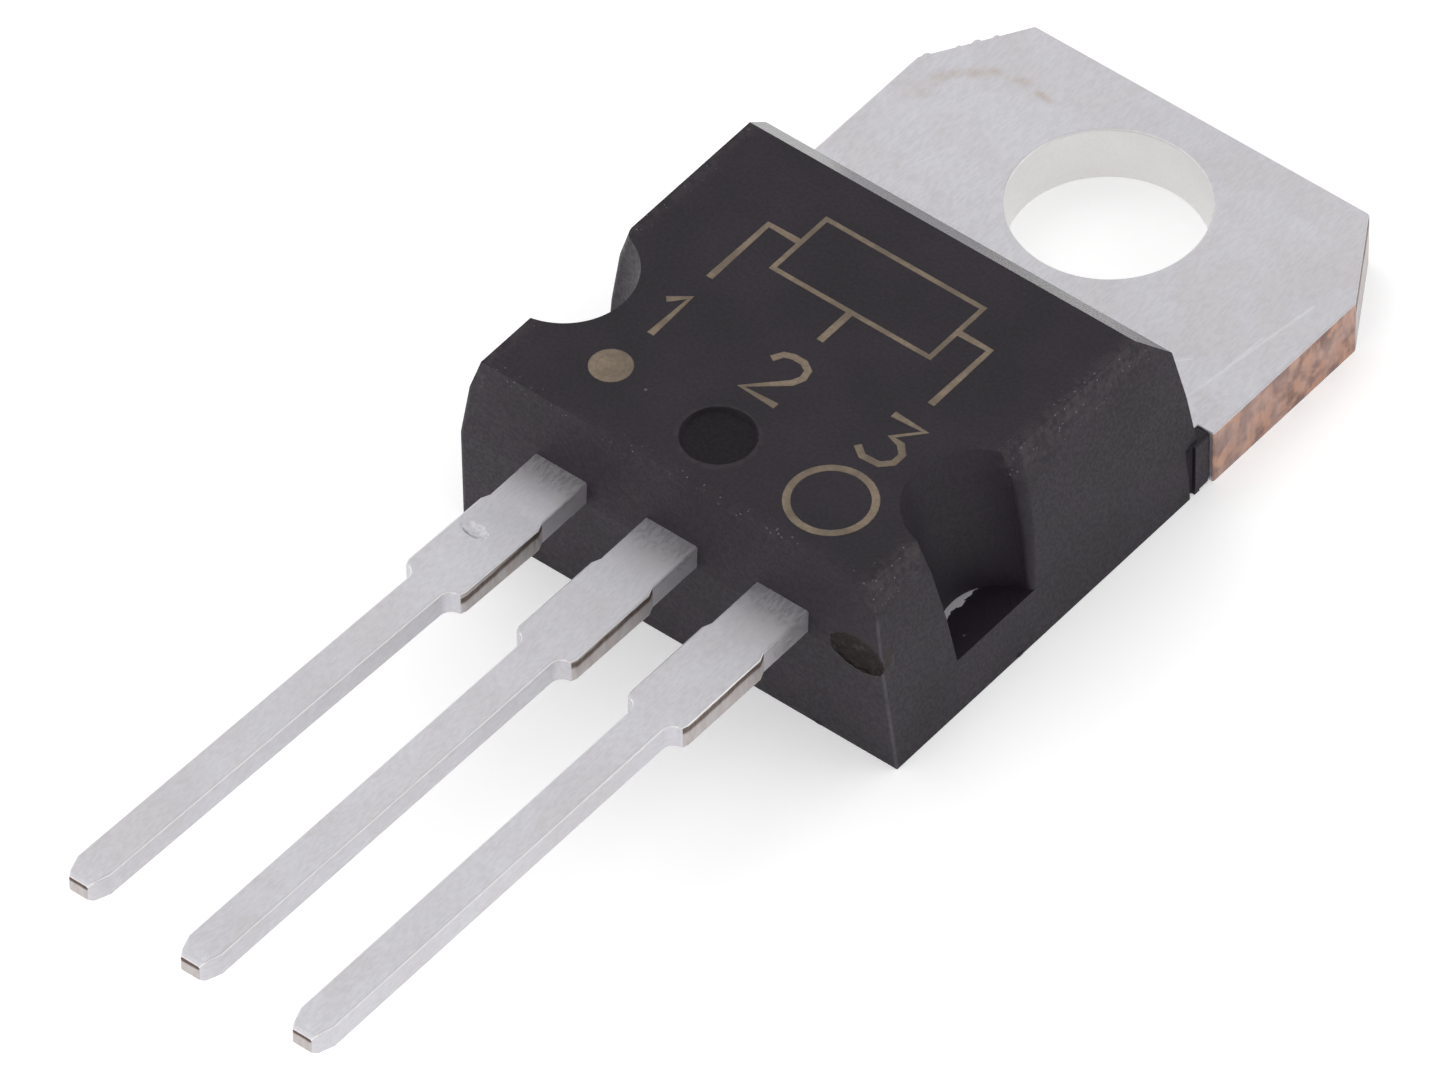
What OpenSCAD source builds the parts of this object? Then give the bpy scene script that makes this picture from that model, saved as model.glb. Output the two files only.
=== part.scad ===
// Three-lead power regulator in a moulded package with a screw-down cooling tab.
// Millimetres. X runs across the package, Y from the leads to the tab, Z up from the cooling face.
// The origin is on the cooling face, on the axis of the screw hole.

/* [Tab] */
// How far the tab stands out past the moulding's base on each side
tab_over = 0.08; // [0:0.01:0.2]
// Thickness of the tab and of the heat slug behind it
tab_t = 1.27; // [1.2:0.01:1.4]
// Free length of the tab, from its end to the moulding
tab_len = 6.45; // [6.2:0.05:6.6]
// Distance from the end of the tab to the hole's axis
hole_end = 2.75; // [2.65:0.05:2.95]
// Diameter of the screw hole
hole_d = 3.8; // [3.6:0.02:3.9]
// Rolled-in edge that the punch left round the hole's upper end
hole_break = 0.08; // [0.04:0.01:0.15]
// Part of a cropped corner that lies across the tab
crop_x = 1.2; // [0.8:0.05:1.6]
// Part of a cropped corner that lies along the tab
crop_y = 1.95; // [1.5:0.05:2.2]

/* [Heat slug] */
// Width of the slug inside the moulding
slug_w = 8.3; // [8:0.05:8.6]
// Width of the slug's face that shows on the underside
pad_w = 7.9; // [7.4:0.05:7.95]
// Height of the undercut that keys the slug into the moulding
key_h = 0.5; // [0.3:0.05:0.7]
// Length of the slug inside the moulding
slug_len = 7.1; // [7:0.05:7.2]
// Step in from the tab's side to the shoulder that enters the moulding
shoulder_in = 0.38; // [0.3:0.01:0.6]
// Length of that shoulder inside the moulding
shoulder_len = 0.6; // [0.4:0.05:0.8]
// Width of the two grooves across the slug that hold the moulding down
groove_w = 0.4; // [0.3:0.05:0.6]
// Depth of those grooves
groove_depth = 0.2; // [0.1:0.05:0.3]

/* [Moulding] */
// Length of the moulding at the parting line
body_len = 8.97; // [8.8:0.01:9.2]
// Height of the moulding above the cooling face
body_h = 4.5; // [4.4:0.02:4.6]
// Width of the moulding at its base
base_w = 10; // [9.9:0.02:10.2]
// Width of the moulding at the parting line
waist_w = 9.7; // [9.6:0.02:9.85]
// Width of the marked face
top_w = 8.84; // [8.7:0.02:9]
// How far the lead side leans in from the parting line to the marked face
front_lean = 0.1; // [0.05:0.01:0.2]
// How far the lead side leans in from the parting line to the base
front_undercut = 0.2; // [0.1:0.01:0.25]
// How far the tab side leans in from the tab to its bevel
rear_lean = 0.43; // [0.3:0.01:0.6]
// Part of the tab side's bevel that lies along the package
bevel_y = 0.77; // [0.6:0.01:0.9]
// Part of the long sides' bevels that lies across the package
bevel_x = 0.25; // [0.2:0.01:0.3]
// Height of the bevels on those three sides
bevel_z = 0.77; // [0.6:0.01:0.9]
// Flat that the mould leaves along the edges of the marked face
edge_flat = 0.07; // [0.04:0.01:0.1]

/* [Side notches] */
// Distance from the lead side to a notch's axis
notch_y = 2.85; // [2.75:0.05:2.95]
// Distance of a notch's axis from the middle, at the marked face
notch_x = 4.74; // [4.65:0.01:4.9]
// Radius of a notch at the marked face
notch_r_top = 1.37; // [1.3:0.01:1.45]
// Radius of a notch at its floor
notch_r_floor = 1.08; // [1:0.01:1.2]
// Angle at which a notch's axis leans out towards its floor
notch_lean_out = 5.5; // [3:0.5:8]
// Angle at which a notch's axis leans towards the tab on its way to the floor
notch_lean_back = 4.5; // [3:0.5:6]

/* [Mould marks] */
// Diameter of the ejector pin's mark
ejector_d = 1.45; // [1.2:0.05:1.7]
// Depth of the ejector pin's mark
ejector_depth = 0.06; // [0.03:0.01:0.1]
// Distance from the lead side to the ejector pin's axis
ejector_y = 1.32; // [1.2:0.02:1.5]
// Width of the scar where the gate was broken off
gate_w = 1.2; // [1:0.05:1.4]
// Height of that scar
gate_h = 0.5; // [0.3:0.02:0.56]
// Depth of that scar
gate_depth = 0.1; // [0.05:0.01:0.15]
// How far the ears beside the tab stand behind the moulding
ear_len = 0.3; // [0.2:0.05:0.4]
// Width of the relief between an ear and the moulding's side
relief_w = 0.14; // [0.1:0.01:0.2]
// Depth of that relief
relief_depth = 0.12; // [0.08:0.01:0.15]

/* [Leads] */
// Distance between the axes of neighbouring leads
pitch = 2.54; // [2.4:0.01:2.7]
// Thickness of a lead
lead_t = 0.53; // [0.5:0.01:0.6]
// Height of the leads' underside, which is the parting line
lead_z = 2.5; // [2.4:0.01:2.7]
// Length of a lead outside the moulding
lead_len = 13.4; // [13:0.1:14]
// Width of a lead next to the moulding
neck_w = 1.19; // [1.14:0.01:1.3]
// Length of that neck
neck_len = 1.25; // [1:0.05:1.5]
// Width of a lead where the tie bars were cut off
wide_w = 1.34; // [1.3:0.01:1.55]
// Distance from the moulding to the end of the wide stretch
wide_len = 3.6; // [3.5:0.05:3.9]
// Width of a lead's pin
pin_w = 0.76; // [0.65:0.01:0.88]
// Radius in the corner between the pin and the wide stretch
root_r = 0.24; // [0.15:0.01:0.27]
// Width of a pin's flat end
tip_w = 0.42; // [0.3:0.02:0.5]
// Length of a pin's taper
tip_len = 0.45; // [0.3:0.05:0.6]
// Bevel across the upper and lower edge of a pin's end
tip_bevel = 0.12; // [0.05:0.01:0.18]
// How far the left lead is bent up at its tip
left_lift = 0.6; // [0:0.05:0.8]
// How far the middle lead is bent up at its tip
middle_lift = 0.25; // [0:0.05:0.8]
// How far the right lead is bent up at its tip
right_lift = 0.1; // [0:0.05:0.8]

/* [Inside the moulding] */
// Inner radius of the bends in the middle lead
bend_r = 0.2; // [0.15:0.05:0.25]
// Slope of the middle lead between its bends
bend_angle = 70; // [65:5:80]
// Distance from the lead side to the bonding posts
post_in = 0.45; // [0.35:0.05:0.5]
// Length of a bonding post
post_len = 1.1; // [1:0.05:1.2]
// How far a post reaches from the lead's axis towards the middle lead
post_inner = 0.8; // [0.7:0.05:0.95]
// How far a post reaches from the lead's axis towards the side
post_outer = 1.2; // [1:0.05:1.3]
// Diameter of the hole that locks a post into the moulding
post_hole_d = 0.5; // [0.4:0.05:0.6]
// Side of the chip across the package
chip_x = 2.6; // [2.2:0.1:3]
// Side of the chip along the package
chip_y = 2.3; // [2:0.1:2.6]
// Thickness of the chip
chip_t = 0.28; // [0.2:0.01:0.35]
// Distance from the end of the slug to the chip's middle
chip_back = 2.4; // [2.2:0.1:2.8]
// Thickness of the solder under the chip
solder_t = 0.06; // [0.04:0.01:0.1]
// How far the solder reaches past the chip
solder_edge = 0.15; // [0.1:0.05:0.25]
// Diameter of the bond wires
wire_d = 0.2; // [0.15:0.01:0.25]
// Radius of the wires' bends
wire_r = 0.35; // [0.3:0.05:0.45]
// Slope at which a wire leaves the chip
wire_rise = 55; // [50:5:60]
// Slope at which a wire comes down to its post
wire_fall = 25; // [20:5:30]
// Length of a wire's flattened foot
foot_len = 0.45; // [0.35:0.05:0.5]
// Share of the wire's diameter that is left in a foot's thickness
foot_squash = 0.6; // [0.5:0.05:0.8]
// Share of the wire's diameter by which a foot spreads
foot_spread = 1.4; // [1.2:0.05:1.6]

/* [Hidden] */
$fn = 48;
EPS = 0.01;
REACH = 40;

tab_w = base_w + 2 * tab_over;
shoulder_w = tab_w - 2 * shoulder_in;
tab_end_y = hole_end;
rear_y = tab_end_y - tab_len;
front_y = rear_y - body_len;
slug_end_y = rear_y - slug_len;
tip_y = front_y - lead_len;
bend_y = front_y - neck_len;
embed_y = front_y + post_in + EPS;
lead_top = lead_z + lead_t;

notch_axis_y = front_y + notch_y;

chip_mid_y = slug_end_y + chip_back;
chip_base = tab_t + solder_t;
chip_top = chip_base + chip_t;

post_mid_y = front_y + post_in + post_len / 2;

// The moulding's outline seen from the leads.
module front_outline() {
    polygon([
        [-base_w / 2, 0],
        [base_w / 2, 0],
        [waist_w / 2, lead_z],
        [top_w / 2 + bevel_x, body_h - bevel_z],
        [top_w / 2, body_h - edge_flat],
        [top_w / 2 - edge_flat, body_h],
        [edge_flat - top_w / 2, body_h],
        [-top_w / 2, body_h - edge_flat],
        [-top_w / 2 - bevel_x, body_h - bevel_z],
        [-waist_w / 2, lead_z]
    ]);
}

// The moulding's outline seen from the side, with Y to the right and Z up.
module side_outline() {
    rear_top_y = rear_y - rear_lean - bevel_y;
    polygon([
        [front_y + front_undercut, 0],
        [rear_y, 0],
        [rear_y, tab_t],
        [rear_y - rear_lean, body_h - bevel_z],
        [rear_top_y, body_h],
        [front_y + front_lean + edge_flat, body_h],
        [front_y + front_lean, body_h - edge_flat],
        [front_y, lead_z]
    ]);
}

// The drafted block that the two mould halves form.
module mould_block() {
    intersection() {
        translate([0, REACH / 2, 0])
            rotate([90, 0, 0])
                linear_extrude(2 * REACH)
                    front_outline();
        translate([-REACH / 2, 0, 0])
            rotate([90, 0, 90])
                linear_extrude(REACH)
                    side_outline();
    }
}

// Small block of moulding beside the tab's shoulder, level with the tab's face.
module ear() {
    ear_front_y = rear_y - shoulder_len / 2;
    translate([shoulder_w / 2, ear_front_y, 0])
        cube([(tab_w - shoulder_w) / 2 - edge_flat, rear_y + ear_len - ear_front_y, tab_t]);
}

// Upright relief in the moulding's side, just ahead of an ear.
module ear_relief() {
    translate([base_w / 2 - relief_depth, rear_y - relief_w * 2, -EPS])
        cube([REACH, relief_w, tab_t + EPS]);
}

// Tapered round notch in the right side, open upwards, that leans out to its floor on the slug's face.
module side_notch() {
    taper = (notch_r_top - notch_r_floor) * body_h / (body_h - tab_t);
    intersection() {
        translate([notch_x, notch_axis_y, body_h])
            rotate([notch_lean_back, -notch_lean_out, 0])
                cylinder(r1 = notch_r_top - taper, r2 = notch_r_top + taper, h = 2 * body_h, center = true);
        translate([0, notch_axis_y - base_w / 2, tab_t])
            cube([base_w, base_w, body_h]);
    }
}

// Sunken ring of the ejector pin on the marked face.
module ejector_mark() {
    translate([0, front_y + ejector_y, body_h - ejector_depth])
        cylinder(d = ejector_d, h = 1);
}

// Segment-shaped scar above the parting line where the gate was broken off.
module gate_scar() {
    chord_r = (gate_w * gate_w / 4 + gate_h * gate_h) / (2 * gate_h);
    scar_mid_x = waist_w / 2 - gate_w / 2 - edge_flat;
    translate([scar_mid_x, front_y + gate_depth, lead_z])
        rotate([90, 0, 0])
            linear_extrude(1)
                intersection() {
                    translate([0, gate_h - chord_r])
                        circle(r = chord_r);
                    translate([-gate_w, 0])
                        square([2 * gate_w, gate_h + EPS]);
                }
}

module moulded_body() {
    color("#38363b")
        difference() {
            union() {
                mould_block();
                ear();
                mirror([1, 0, 0]) ear();
            }
            ear_relief();
            mirror([1, 0, 0]) ear_relief();
            side_notch();
            mirror([1, 0, 0]) side_notch();
            ejector_mark();
            gate_scar();
            frame_metal();
            outer_lead_metal(-1);
            outer_lead_metal(1);
            die_solder_layer();
            chip_block();
            left_wire_run();
            right_wire_run();
            sense_wire_run();
        }
}

// The tab's flat shape with its cropped corners.
module tab_outline() {
    free_start_y = rear_y + ear_len;
    polygon([
        [-tab_w / 2, free_start_y],
        [tab_w / 2, free_start_y],
        [tab_w / 2, tab_end_y - crop_y],
        [tab_w / 2 - crop_x, tab_end_y],
        [crop_x - tab_w / 2, tab_end_y],
        [-tab_w / 2, tab_end_y - crop_y]
    ]);
}

// The slug: a shoulder at the moulding, then the plate that carries the chip.
module slug() {
    translate([-shoulder_w / 2, rear_y - shoulder_len, 0])
        cube([shoulder_w, shoulder_len + ear_len + EPS, tab_t]);
    translate([-slug_w / 2, slug_end_y, key_h])
        cube([slug_w, slug_len, tab_t - key_h]);
    translate([-pad_w / 2, slug_end_y + (slug_w - pad_w) / 2, 0])
        cube([pad_w, slug_len - (slug_w - pad_w) / 2, tab_t]);
}

// Groove across the slug, beside the chip, that fills with moulding.
module lock_groove(y) {
    translate([-REACH / 2, y - groove_w / 2, tab_t - groove_depth])
        cube([REACH, groove_w, 1]);
}

// Screw hole with the rolled-in edge that the punch leaves where it enters.
module screw_hole() {
    translate([0, 0, -1])
        cylinder(d = hole_d, h = tab_t + 2);
    translate([0, 0, tab_t - hole_break])
        cylinder(d1 = hole_d, d2 = hole_d + 2 * hole_break, h = hole_break);
}

// Height above its straight run that a lead with that lift has reached at y.
function lift_at(y, lift) = y < bend_y ? lift * (bend_y - y) / (bend_y - tip_y) : 0;

// Side view of a lead, with Y to the right and Z up: straight to the bend, then up to the tip.
module lead_side(lift) {
    under = lead_z + lift_at(tip_y + tip_bevel, lift);
    polygon([
        [tip_y, under + tip_bevel],
        [tip_y + tip_bevel, under],
        [bend_y, lead_z],
        [embed_y, lead_z],
        [embed_y, lead_top],
        [bend_y, lead_top],
        [tip_y + tip_bevel, under + lead_t],
        [tip_y, under + lead_t - tip_bevel]
    ]);
}

// Hollow corner between the pin and the wide stretch, on the right.
module root_corner() {
    shoulder_y = front_y - wide_len;
    difference() {
        translate([pin_w / 2 - EPS, shoulder_y - root_r])
            square([root_r + EPS, root_r + EPS]);
        translate([pin_w / 2 + root_r, shoulder_y - root_r])
            circle(r = root_r);
    }
}

// Right half of a lead's flat shape: tapered tip, pin, wide stretch and neck.
module half_lead_plan() {
    polygon([
        [0, tip_y],
        [tip_w / 2, tip_y],
        [pin_w / 2, tip_y + tip_len],
        [pin_w / 2, front_y - wide_len],
        [wide_w / 2, front_y - wide_len],
        [wide_w / 2, bend_y],
        [neck_w / 2, bend_y],
        [neck_w / 2, embed_y],
        [0, embed_y]
    ]);
    root_corner();
}

// The part of a lead outside the moulding, on the middle lead's axis.
module lead_outside(lift) {
    intersection() {
        linear_extrude(body_h) {
            half_lead_plan();
            mirror([1, 0]) half_lead_plan();
        }
        translate([-wide_w, 0, 0])
            rotate([90, 0, 90])
                linear_extrude(2 * wide_w)
                    lead_side(lift);
    }
}

// One bend of the middle lead about an axis across the package. It starts at the origin, heading
// towards -Y, and turns upwards.
module strip_bend() {
    translate([-neck_w / 2, 0, lead_t + bend_r])
        rotate([0, 90, 0])
            rotate([0, 0, -bend_angle])
                rotate_extrude(angle = bend_angle)
                    translate([bend_r, 0])
                        square([lead_t, neck_w]);
}

// The middle lead's rise from the slug's upper face to the leads' height.
module rise() {
    mid_r = bend_r + lead_t / 2;
    climb = lead_top - tab_t;
    slope_len = (climb - 2 * mid_r * (1 - cos(bend_angle))) / sin(bend_angle);
    rise_run = 2 * mid_r * sin(bend_angle) + slope_len * cos(bend_angle);
    translate([0, slug_end_y, tab_t - lead_t])
        strip_bend();
    translate([0, slug_end_y - mid_r * sin(bend_angle), tab_t - lead_t / 2 + mid_r * (1 - cos(bend_angle))])
        rotate([-bend_angle, 0, 0])
            translate([-neck_w / 2, -slope_len - EPS, -lead_t / 2])
                cube([neck_w, slope_len + 2 * EPS, lead_t]);
    translate([0, slug_end_y - rise_run, lead_top])
        rotate([0, 0, 180])
            mirror([0, 0, 1])
                strip_bend();
    translate([-neck_w / 2, front_y + post_in, lead_z])
        cube([neck_w, slug_end_y - rise_run - front_y - post_in + EPS, lead_t]);
}

// Tab, slug and middle lead: one strip of two thicknesses, blanked and bent.
module frame_metal() {
    difference() {
        union() {
            linear_extrude(tab_t) tab_outline();
            slug();
        }
        screw_hole();
        lock_groove(rear_y - 2 * shoulder_len);
        lock_groove(slug_end_y + groove_w * 2);
    }
    rise();
    lead_outside(middle_lift);
}

module tab_and_middle_lead() {
    color("#c9c8ce") frame_metal();
}

// Bonding post of an outer lead, with the hole that locks it; side is -1 on the left, 1 on the right.
module bonding_post(side) {
    translate([0, front_y + post_in, lead_z])
        difference() {
            translate([side > 0 ? -post_inner : -post_outer, 0, 0])
                cube([post_inner + post_outer, post_len, lead_t]);
            translate([side * (post_outer - post_hole_d), post_len / 2, -1])
                cylinder(d = post_hole_d, h = lead_t + 2);
        }
}

module outer_lead_metal(side) {
    translate([side * pitch, 0, 0]) {
        lead_outside(side > 0 ? right_lift : left_lift);
        bonding_post(side);
    }
}

module left_lead() {
    color("#c9c8ce") outer_lead_metal(-1);
}

module right_lead() {
    color("#c9c8ce") outer_lead_metal(1);
}

module chip_block() {
    translate([-chip_x / 2, chip_mid_y - chip_y / 2, chip_base])
        cube([chip_x, chip_y, chip_t]);
}

module regulator_chip() {
    color("#5b6068") chip_block();
}

module die_solder_layer() {
    translate([-chip_x / 2 - solder_edge, chip_mid_y - chip_y / 2 - solder_edge, tab_t])
        cube([chip_x + 2 * solder_edge, chip_y + 2 * solder_edge, solder_t]);
}

module die_solder() {
    color("#9a9a98") die_solder_layer();
}

// Flattened foot centred on the origin, along X, with its sole at z = 0.
module wire_foot() {
    translate([-foot_len / 2, -wire_d * foot_spread / 2, 0])
        cube([foot_len, wire_d * foot_spread, wire_d * foot_squash]);
}

// Bend of the wire in the XZ plane that starts at the origin, heading along +X, and turns upwards.
module wire_bend(angle) {
    translate([0, 0, wire_r])
        rotate([90, 0, 0])
            rotate([0, 0, -90])
                rotate_extrude(angle = angle)
                    translate([wire_r, 0])
                        circle(d = wire_d);
}

module wire_straight(length) {
    rotate([0, 90, 0])
        cylinder(d = wire_d, h = length);
}

// Bond wire from one point on the chip to one on a post: foot, rise, bow, fall and foot.
module bond_wire(from, to) {
    span = norm([to[0] - from[0], to[1] - from[1]]) - foot_len / 2;
    heading = atan2(to[1] - from[1], to[0] - from[0]);
    run = span - 2 * wire_r * (sin(wire_rise) + sin(wire_fall));
    climb = to[2] - from[2] - 2 * wire_r * (cos(wire_fall) - cos(wire_rise));
    up_len = (run * sin(wire_fall) + climb * cos(wire_fall)) / sin(wire_rise + wire_fall);
    down_len = (run * sin(wire_rise) - climb * cos(wire_rise)) / sin(wire_rise + wire_fall);
    sole = wire_d / 2;
    translate(from)
        rotate([0, 0, heading]) {
            wire_foot();
            translate([foot_len / 4, 0, sole]) {
                wire_bend(wire_rise);
                translate([wire_r * sin(wire_rise), 0, wire_r * (1 - cos(wire_rise))])
                    rotate([0, -wire_rise, 0]) {
                        wire_straight(up_len);
                        translate([up_len, 0, 0]) {
                            rotate([180, 0, 0]) wire_bend(wire_rise + wire_fall);
                            translate([
                                wire_r * sin(wire_rise + wire_fall), 0,
                                -wire_r * (1 - cos(wire_rise + wire_fall))
                            ])
                                rotate([0, wire_rise + wire_fall, 0]) {
                                    wire_straight(down_len);
                                    translate([down_len, 0, 0]) wire_bend(wire_fall);
                                }
                        }
                    }
            }
            translate([foot_len / 2 + span, 0, to[2] - from[2]]) wire_foot();
        }
}

// Where a wire starts on the chip and ends on a post; share is how far out it starts, from -1 to 1.
function on_chip(share, back) = [share * chip_x / 2, chip_mid_y - chip_y / 2 + back, chip_top];
function on_post(side, out) = [side * (pitch + out), post_mid_y, lead_top];

module left_wire_run() {
    bond_wire(on_chip(-0.6, foot_len), on_post(-1, -post_inner / 4));
}

module right_wire_run() {
    bond_wire(on_chip(0.7, foot_len), on_post(1, post_inner / 4));
}

module sense_wire_run() {
    bond_wire(on_chip(0.3, foot_len), on_post(1, -post_inner / 2));
}

module left_wire() {
    color("#d7d8dc") left_wire_run();
}

module right_wire() {
    color("#d7d8dc") right_wire_run();
}

module sense_wire() {
    color("#d7d8dc") sense_wire_run();
}

moulded_body();
tab_and_middle_lead();
left_lead();
right_lead();
regulator_chip();
die_solder();
left_wire();
right_wire();
sense_wire();
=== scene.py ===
from math import cos, hypot, pi, radians, sin, sqrt, tan

import bpy
from mathutils import Matrix, Vector


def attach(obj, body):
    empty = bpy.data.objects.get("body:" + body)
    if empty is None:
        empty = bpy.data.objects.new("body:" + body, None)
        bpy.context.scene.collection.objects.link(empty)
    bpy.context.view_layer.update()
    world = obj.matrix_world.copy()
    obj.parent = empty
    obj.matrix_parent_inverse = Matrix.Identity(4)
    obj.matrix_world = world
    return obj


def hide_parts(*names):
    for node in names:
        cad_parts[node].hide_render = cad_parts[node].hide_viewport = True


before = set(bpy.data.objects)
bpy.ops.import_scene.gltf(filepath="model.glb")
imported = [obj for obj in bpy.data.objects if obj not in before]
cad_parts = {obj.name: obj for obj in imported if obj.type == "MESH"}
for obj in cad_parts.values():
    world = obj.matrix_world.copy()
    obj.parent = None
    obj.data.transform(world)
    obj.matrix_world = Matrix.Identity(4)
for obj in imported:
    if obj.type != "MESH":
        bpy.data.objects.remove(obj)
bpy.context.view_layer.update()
mm = 0.001
# tolerances of the modelling tools, in millimetres, and the angle that still counts as flat, in degrees
care = {"cut": 1e-5, "merge": 2e-4, "degenerate": 1e-4, "level": 1e-3, "flatAngle": 0.2, "facing": 0.9}


# General tools

def selectNothing():
    if bpy.context.object and bpy.context.object.mode != "OBJECT":
        bpy.ops.object.mode_set(mode="OBJECT")
    bpy.ops.object.select_all(action="DESELECT")


def makeActive(piece):
    selectNothing()
    piece.select_set(True)
    bpy.context.view_layer.objects.active = piece


def freezePlace(piece):
    makeActive(piece)
    bpy.ops.object.transform_apply(location=True, rotation=True, scale=True)


def nameNew(name):
    piece = bpy.context.object
    piece.name = name
    freezePlace(piece)
    return piece


def addBlock(name, low, high):
    selectNothing()
    middle = [(a + b) / 2 for a, b in zip(low, high)]
    size = [b - a for a, b in zip(low, high)]
    bpy.ops.mesh.primitive_cube_add(size=1, location=middle, scale=size)
    return nameNew(name)


def addRound(name, lowRadius, highRadius, low, height, turn=(0, 0, 0), sides=96):
    # a cylinder or cone that stands on low and is turned about its middle
    selectNothing()
    bpy.ops.mesh.primitive_cone_add(
        vertices=sides, radius1=lowRadius, radius2=highRadius, depth=height,
        location=(low[0], low[1], low[2] + height / 2), rotation=[radians(a) for a in turn])
    return nameNew(name)


def addBall(name, place, radius, scale, detail=3):
    selectNothing()
    bpy.ops.mesh.primitive_ico_sphere_add(subdivisions=detail, radius=radius, location=place, scale=scale)
    return nameNew(name)


def openWhole(piece):
    # goes into edit mode with everything selected
    makeActive(piece)
    bpy.ops.object.mode_set(mode="EDIT")
    bpy.ops.mesh.select_all(action="SELECT")


def closeMesh():
    bpy.ops.object.mode_set(mode="OBJECT")


def roughen(piece, offset, spread, seed):
    openWhole(piece)
    bpy.ops.transform.vertex_random(offset=offset, uniform=spread, normal=spread, seed=seed)
    closeMesh()


def sliceOff(piece, point, outward):
    openWhole(piece)
    bpy.ops.mesh.bisect(
        plane_co=point, plane_no=Vector(outward).normalized(), use_fill=True, clear_outer=True,
        threshold=care["cut"])
    closeMesh()


def scoreAcross(piece, point, direction):
    # an edge loop across the piece
    openWhole(piece)
    bpy.ops.mesh.bisect(plane_co=point, plane_no=direction, threshold=care["cut"])
    closeMesh()


def joinFlatFaces(piece):
    openWhole(piece)
    bpy.ops.mesh.dissolve_limited(angle_limit=radians(care["flatAngle"]))
    closeMesh()


def tidyMesh(piece):
    openWhole(piece)
    bpy.ops.mesh.remove_doubles(threshold=care["merge"])
    bpy.ops.mesh.dissolve_degenerate(threshold=care["degenerate"])
    bpy.ops.mesh.normals_make_consistent(inside=False)
    closeMesh()


def useModifier(piece, kind, **settings):
    makeActive(piece)
    modifier = piece.modifiers.new(kind.title(), kind)
    for key, value in settings.items():
        setattr(modifier, key, value)
    bpy.ops.object.modifier_apply(modifier=modifier.name)


def combine(piece, tool, operation="UNION", keepTool=False):
    useModifier(piece, "BOOLEAN", object=tool, operation=operation, solver="EXACT")
    if not keepTool:
        bpy.data.objects.remove(tool)
    tidyMesh(piece)


def carve(piece, tool, keepTool=False):
    combine(piece, tool, "DIFFERENCE", keepTool)


def openParts(piece, faceMode, wanted):
    # goes into edit mode with only the wanted faces or edges selected
    makeActive(piece)
    mesh = piece.data
    for part in (*mesh.vertices, *mesh.edges, *mesh.polygons):
        part.select = False
    for part in (mesh.polygons if faceMode else mesh.edges):
        part.select = wanted(part)
    bpy.context.tool_settings.mesh_select_mode = (False, not faceMode, faceMode)
    bpy.ops.object.mode_set(mode="EDIT")


def bevelEdges(piece, width, steps, wanted):
    # wanted gets an edge's two ends
    places = piece.data.vertices
    openParts(piece, False, lambda edge: wanted(*(places[i].co for i in edge.vertices)))
    bpy.ops.mesh.bevel(offset=width, segments=steps, profile=0.5, affect="EDGES", clamp_overlap=True)
    closeMesh()


def softenEdges(piece, width, steps=3, sharpFrom=28):
    useModifier(
        piece, "BEVEL", width=width, segments=steps, limit_method="ANGLE",
        angle_limit=radians(sharpFrom), harden_normals=False, use_clamp_overlap=True)


def smoothShade(piece, angle):
    makeActive(piece)
    bpy.ops.object.shade_smooth_by_angle(angle=radians(angle))
    useModifier(
        piece, "WEIGHTED_NORMAL", mode="FACE_AREA", weight=100, thresh=care["degenerate"], keep_sharp=True)


def paintFaces(piece, material, wanted):
    # wanted gets a face's middle in millimetres and its normal
    piece.data.materials.append(material)
    index = len(piece.data.materials) - 1
    for polygon in piece.data.polygons:
        if wanted(polygon.center / mm, polygon.normal):
            polygon.material_index = index


def dress(piece, material):
    piece.data.materials.clear()
    piece.data.materials.append(material)


def handOver(piece, slot, *nodes):
    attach(piece, "root")
    if nodes:
        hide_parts(*nodes)


# Shader tools

def newTree(name):
    material = bpy.data.materials.new(name)
    material.use_nodes = True
    tree = material.node_tree
    tree.nodes.clear()
    output = tree.nodes.new("ShaderNodeOutputMaterial")
    shader = tree.nodes.new("ShaderNodeBsdfPrincipled")
    tree.links.new(shader.outputs[0], output.inputs["Surface"])
    return material, tree, shader


def feed(tree, node, values):
    # inputs by name, or by number as in i0 and i1
    for key, value in values.items():
        socket = node.inputs[int(key[1:]) if key[0] == "i" and key[1:].isdigit() else key]
        if isinstance(value, bpy.types.NodeSocket):
            tree.links.new(value, socket)
        else:
            socket.default_value = value


def addNode(tree, kind, settings=None, **values):
    node = tree.nodes.new("ShaderNode" + kind)
    for key, value in (settings or {}).items():
        setattr(node, key, value)
    feed(tree, node, values)
    return node


def useGroup(tree, group, **values):
    node = tree.nodes.new("ShaderNodeGroup")
    node.node_tree = group
    feed(tree, node, values)
    return node.outputs


def calc(tree, operation, first, second=0.0, third=0.0, clamp=False):
    settings = {"operation": operation, "use_clamp": clamp}
    return addNode(tree, "Math", settings, i0=first, i1=second, i2=third).outputs[0]


def times(tree, first, second):
    return calc(tree, "MULTIPLY", first, second)


def minus(tree, first, second, clamp=False):
    return calc(tree, "SUBTRACT", first, second, clamp=clamp)


def vectorCalc(tree, operation, first, second=(0, 0, 0), factor=1.0):
    return addNode(tree, "VectorMath", {"operation": operation}, i0=first, i1=second, i3=factor).outputs


def blend(tree, factor, first, second):
    return addNode(tree, "Mix", {"data_type": "RGBA"}, i0=factor, i6=first, i7=second).outputs[2]


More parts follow.
